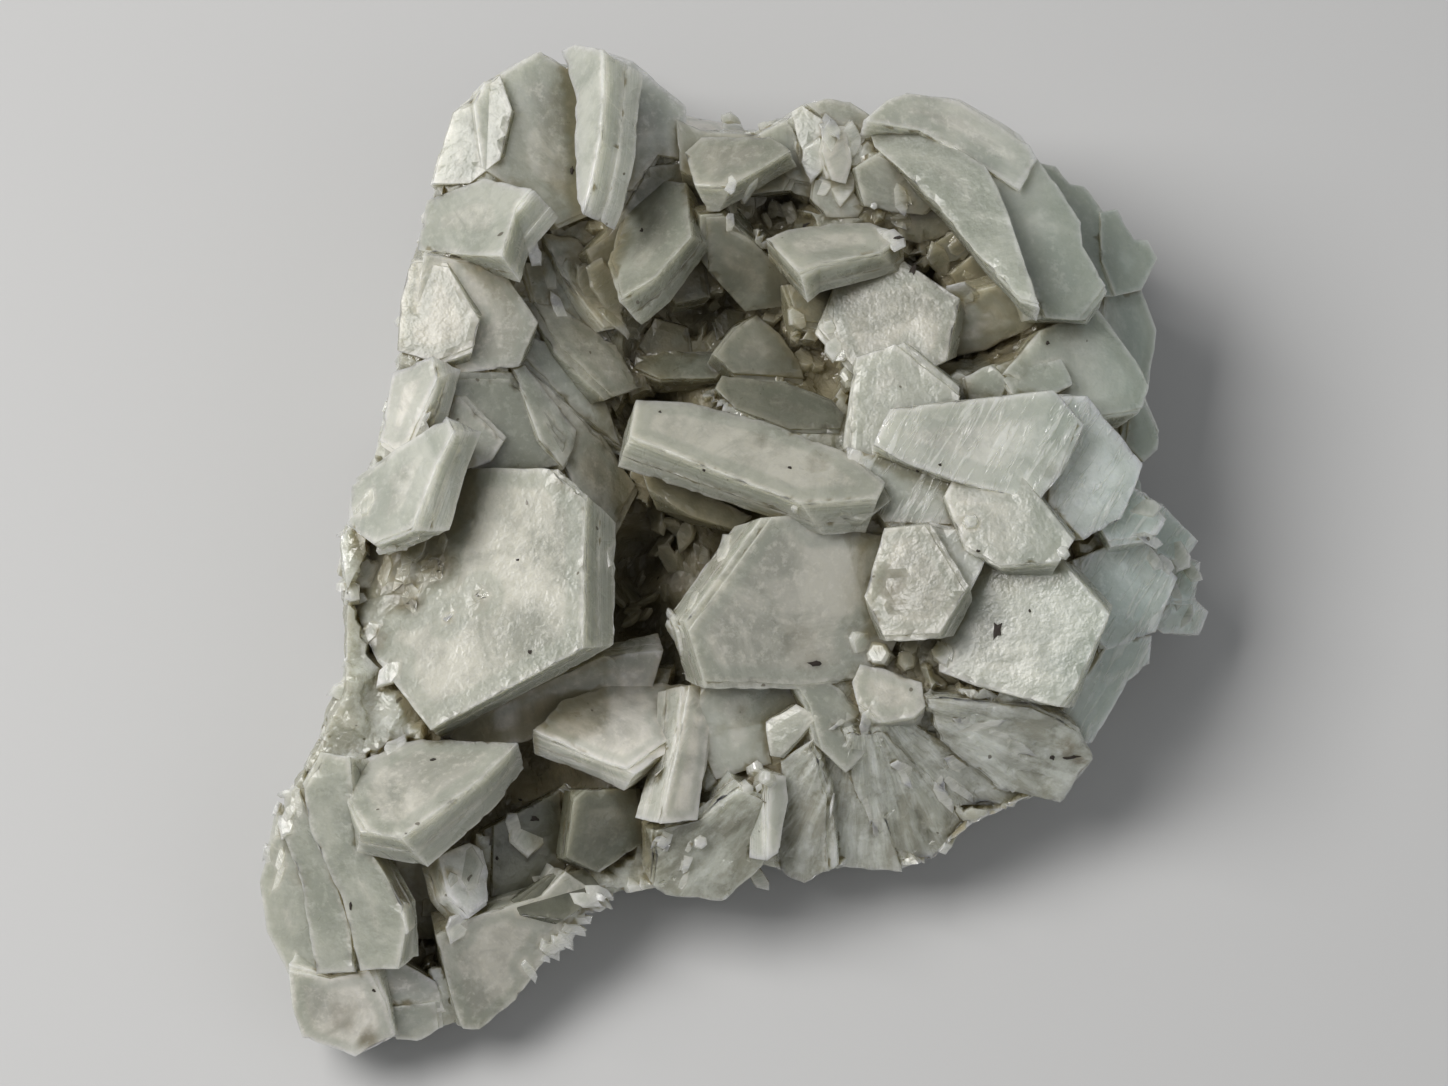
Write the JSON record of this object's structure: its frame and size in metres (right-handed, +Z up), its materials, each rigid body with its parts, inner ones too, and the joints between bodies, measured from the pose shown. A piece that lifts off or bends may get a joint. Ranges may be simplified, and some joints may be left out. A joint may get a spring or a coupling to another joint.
{
  "type": "poker chip calcite specimen",
  "caption": "Intergrown cluster of flat six-sided milky calcite plates round a deep hollow, on its own broken rock, lying on a flat sawn back.",
  "frame": {"origin": "on the flat sawn underside, below the middle of the crystal face", "axes": "+Z up from the surface it lies on, +Y towards the specimen's crown, +X towards its pale green side"},
  "size_m": [0.1198, 0.137, 0.0554],
  "materials": {
    "calcite": "satin"
  },
  "bodies": {
    "root": {"calcite_cluster": "calcite"}
  },
  "joints": []
}
